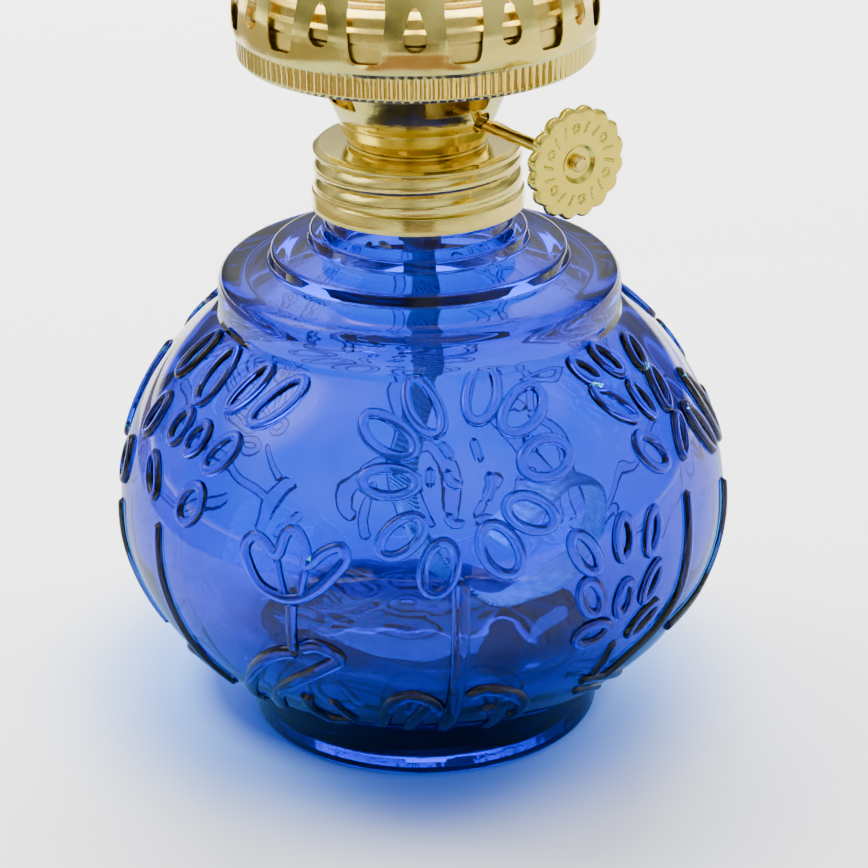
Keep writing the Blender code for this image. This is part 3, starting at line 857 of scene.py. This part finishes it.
gallery = turned("gallery_wall", subdivided(gallery_outline, 0.85), 650)
points = places(gallery)
turn = np.arctan2(points[:, 1], points[:, 0])
knurls, openings = 130, 12
which = np.round(turn * knurls / math.tau)
step = np.abs(turn * knurls / math.tau - which)
struck = np.array([noise.noise(Vector((k * 7.3, 0.5, 2.5))) for k in which])
flute = 0.05 - (0.5 + 0.35 * struck) * np.exp(-((step / 0.19) ** 2))
knurled = np.clip(np.minimum(points[:, 2] - 127.3, 131.8 - points[:, 2]) / 0.5, 0, 1)
points = pushed(points, flute * knurled)
spacing = 360 / openings
from_slot = (np.mod(np.degrees(turn) + 90, spacing) - spacing / 2) * math.radians(1) * 31.5
pinch = np.exp(-((from_slot / 2.6) ** 2) - ((points[:, 2] - 133.0) / 1.5) ** 2)
put(gallery, pushed(points, 0.35 * pinch))
sheet(gallery, 0.25)
drop = mirrored(
    [
        (0.6, 136.2), (1.2, 136.5), (1.7, 137.1), (2.0, 138.1), (1.8, 139.4), (1.35, 141.0), (0.85, 142.6),
        (0.3, 143.4),
    ]
)
slot = mirrored(
    [
        (1.6, 134.0), (2.2, 134.2), (2.6, 134.8), (2.85, 135.9), (3.0, 137.6), (3.3, 141.0), (3.1, 145.0),
        (3.2, 150.0), (3.3, 156.0), (3.9, 158.6), (5.2, 162.0),
    ]
)
holes = [radial_block(drop, -90 + spacing * k, 26, 36) for k in range(openings)]
holes += [radial_block(slot, -90 + spacing * (k + 0.5), 22, 36) for k in range(openings)]
combined(gallery, joined(holes))
finished(gallery, gallery_brass, "brass", "burner", "gallery")


# ---------------------------------------------------------------------------
# Flame spreader: a stepped ring that the chimney stands on, with a dome over
# the wick, slotted for the flame.
# ---------------------------------------------------------------------------
spreader_outline = [(r, z) for r, z in reversed(ellipse(141.8, 20.6, 13.8, 2, 90, 30))]
spreader_outline += rounded(
    [
        (20.7, 142.2, 0), (21.3, 141.8, 0.4), (28.5, 141.8, 0.5), (29.9, 141.2, 0.4), (30.3, 139.6, 0.4),
        (31.15, 139.0, 0.3), (31.4, 137.4, 0.3), (31.1, 136.8, 0.3), (31.45, 133.2, 0.4),
        (30.2, 131.8, 0.4), (30.1, 128.9, 0),
    ],
    4,
)
spreader = sheet(turned("spreader", subdivided(spreader_outline, 0.8), 160), brass_thickness)
feet_gap = mirrored([(13.2, 127.8), (14.6, 129.0), (14.6, 131.0), (13.2, 132.0)])
gaps = [radial_block(feet_gap, 45 + 90 * k, 18, 34) for k in range(4)]
bpy.ops.object.select_all(action="DESELECT")
bpy.ops.mesh.primitive_cube_add(size=1)
slit = bpy.context.object
slit_length, slit_width, slit_depth = 14.0, 5.2, 12
slit.data.transform(
    Matrix.Rotation(math.atan2(spindle_way.y, spindle_way.x), 4, "Z")
    @ Matrix.Translation((0, 0, 155 * MM))
    @ Matrix.Diagonal((slit_length * MM, slit_width * MM, slit_depth * MM, 1))
)
combined(spreader, joined([slit, *gaps]))
spreader_brass = brass_finish("spreader_brass", (0.86, 0.66, 0.15), (0.76, 0.54, 0.10), 0.22, 0.36)
finished(spreader, spreader_brass, "brass", "burner", "flame_spreader")


# ---------------------------------------------------------------------------
# Winder: a straight shaft with a scalloped knob riveted to its end. The knob
# is a pressed disc with a turned-back rim and a ring of stamped marks.
# ---------------------------------------------------------------------------
shaft_brass = brass_finish(
    "shaft_brass", (0.86, 0.69, 0.17), (0.76, 0.57, 0.10), 0.08, 0.16, stretch=(1, 1, 0.2)
)
shaft = turned(
    "shaft",
    rounded(
        [
            (0, -7.6, 0), (1.1, -7.6, 0.15), (1.1, 40.8, 0.1), (0.8, 40.9, 0.05), (0.8, 41.5, 0.05),
            (1.5, 41.6, 0.1), (1.45, 42.2, 0.2), (0.9, 42.55, 0.2), (0, 42.35, 0),
        ],
        3,
    ),
    48,
)
shaft.data.transform(spindle_place)
finished(shaft, shaft_brass, "brass", "winder", "spindle")

knob_brass = brass_finish("knob_brass", (0.90, 0.76, 0.11), (0.85, 0.70, 0.08), 0.14, 0.22)
knob_outline = rounded(
    [
        (1.0, 41.45, 0), (1.5, 41.3, 0.3), (2.7, 41.35, 0.4), (3.4, 42.0, 0.3), (9.3, 42.0, 0.5),
        (9.85, 41.4, 0.5), (9.8, 40.4, 0),
    ],
    4,
)
knob = turned("knob", subdivided(knob_outline, 0.16), 256)
points = places(knob)
radius, turn = np.hypot(points[:, 0], points[:, 1]), np.arctan2(points[:, 1], points[:, 0])
lobes, marks, marks_radius = 16, 18, 6.3
lobe = 1 - np.abs(np.cos(lobes / 2 * turn))
rim = np.clip((radius - 7.6) / 1.9, 0, 1)
place_in_mark = (np.mod(turn * marks / math.tau, 1) - 0.5) * math.tau / marks * radius
from_marks = radius - marks_radius
bars = (np.abs(place_in_mark + 0.28 * from_marks) < 0.2) & (np.abs(from_marks) < 1.0)
rings = np.abs(np.hypot(place_in_mark, from_marks) - 0.62) < 0.19
kind = np.mod(np.floor(turn * marks / math.tau), 3)
face = (points[:, 2] > 41.95) & (radius > 4)
raised = np.where(kind == 0, rings, bars) & face
stamp_height = 0.28
points[:, 2] += stamp_height * raised - 0.12 * lobe * rim * face
put(knob, pushed(points, -0.8 * lobe * rim * rim))
sheet(knob, 0.5)
knob.data.transform(spindle_place)
finished(knob, knob_brass, "brass", "winder", "winder_knob", crease=50)


# ---------------------------------------------------------------------------
# Wick: a flat woven cotton tape, standing in its tube and hanging loose in the
# oil. The upper length slides with the winder; the tail bends below the tube.
# ---------------------------------------------------------------------------


def tape(name, route, width, thickness, ribs=12):
    """A ribbed woven tape along (off, height) points in mm, its width along the winder's shaft."""
    section = []
    for side in (1, -1):
        for k in range(25):
            share = side * (1 - 2 * k / 24)
            edge = math.sqrt(max(0.0, 1 - abs(share) ** 8))
            rib = 0.9 + 0.1 * math.cos(share * math.pi * ribs)
            section.append((share * width / 2, side * thickness / 2 * edge * rib))
    section = [section[k] for k in range(len(section)) if k != 25 and k != 49]
    vertices, faces, around = [], [], len(section)
    for i, (off, height) in enumerate(route):
        ahead, behind = Vector(route[min(i + 1, len(route) - 1)]), Vector(route[max(i - 1, 0)])
        along = (ahead - behind).normalized()
        normal = Vector((along.y, -along.x))
        place = off_wick * off + UP * height
        outwards = off_wick * normal.x + UP * normal.y
        for a, b in section:
            vertices.append((place + spindle_way * a + outwards * b) * MM)
    for i in range(len(route) - 1):
        for k in range(around):
            m = (k + 1) % around
            faces.append((i * around + k, i * around + m, (i + 1) * around + m, (i + 1) * around + k))
    faces += [tuple(range(around))[::-1], tuple((len(route) - 1) * around + k for k in range(around))]
    return meshed(name, vertices, faces)


def curved(points, steps):
    """A smooth line through the points."""
    points = [Vector(point) for point in points]
    line = [2 * points[0] - points[1], *points, 2 * points[-1] - points[-2]]
    made = []
    for p0, p1, p2, p3 in zip(line, line[1:], line[2:], line[3:]):
        for t in (k / steps for k in range(steps)):
            bend = (2 * p0 - 5 * p1 + 4 * p2 - p3) * t * t + (3 * p1 - p0 - 3 * p2 + p3) * t**3
            made.append(0.5 * (2 * p1 + (p2 - p0) * t + bend))
    return made + [line[-2]]


cotton, cotton_shader = shader("cotton", Base_Color=(0.80, 0.76, 0.66, 1), Roughness=0.9)
weave = cotton.node_tree.nodes.new("ShaderNodeTexWave")
weave.bands_direction = "Z"
weave.inputs["Scale"].default_value = 320
weave.inputs["Distortion"].default_value = 1.5
weave_place = cotton.node_tree.nodes.new("ShaderNodeTexCoord")
cotton.node_tree.links.new(weave_place.outputs["Object"], weave.inputs["Vector"])
cotton.node_tree.links.new(
    relief_of(cotton, weave.outputs["Fac"], 0.0003, 0.7), cotton_shader.inputs["Normal"]
)
cotton.node_tree.links.new(
    spread(cotton, noise_field(cotton, 700, 5), (0.55, 0.51, 0.42), (0.78, 0.74, 0.65)),
    cotton_shader.inputs["Base Color"],
)
wick_width, wick_thickness = 9.5, 1.6
wick = tape("wick_top", [(0, 104 + 48 * k / 60) for k in range(61)], wick_width, wick_thickness)
finished(wick, cotton, "cotton", "wick_feed", "wick")

tail_route = [
    (0, 103.9), (0, 98), (0, 92), (0.5, 84), (1.6, 75), (0.8, 66), (-1.8, 57), (-3.2, 48), (-2.0, 39),
    (1.2, 30), (5.6, 21.5), (12.0, 14.6), (20.0, 12.2), (28.5, 14.6), (35.6, 19.8), (40.2, 26.6),
    (38.6, 34.0), (31.6, 36.6), (24.2, 33.0), (17.6, 28.0),
]
tail_line = curved(tail_route, 8)
tail = tape("wick_tail_tape", tail_line, wick_width, wick_thickness)
smooth(tail)
tail.data.materials.clear()
tail.data.materials.append(cotton)
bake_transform(tail)
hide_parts("wick_tail")


# ---------------------------------------------------------------------------
# Chimney: clear blown glass with a bulb above the gallery and a fire-polished
# mouth. It stands on the spreader's ledge, held by the prongs.
# ---------------------------------------------------------------------------
clear_glass, clear_shader = shader(
    "clear_glass", Base_Color=(0.97, 0.99, 0.98, 1), Roughness=0.0, IOR=1.47, Transmission_Weight=1.0
)
clear_glass.node_tree.links.new(
    spread(clear_glass, noise_field(clear_glass, 50), 0.0, 0.02), clear_shader.inputs["Roughness"]
)
clear_glass.node_tree.links.new(
    relief_of(clear_glass, noise_field(clear_glass, 40, 1), 0.0004, 0.2), clear_shader.inputs["Normal"]
)
chimney_outline = [
    tuple(place)
    for place in curved(
        [
            (26.2, 142.3), (26.2, 151), (26.4, 160), (30.6, 168), (34.8, 179), (35.8, 192), (33.6, 205),
            (27.6, 226), (22.6, 250), (20.7, 272), (20.4, 291.7),
        ],
        8,
    )
]
chimney = sheet(turned("chimney_glass", chimney_outline, 96), 1.8)
bpy.ops.object.modifier_add(type="BEVEL")
lip = chimney.modifiers[-1]
lip.width = 0.7 * MM
lip.segments = 3
lip.limit_method = "ANGLE"
lip.angle_limit = math.radians(50)
bpy.ops.object.modifier_apply(modifier=lip.name)
finished(chimney, clear_glass, "clear_glass", "chimney", "chimney")
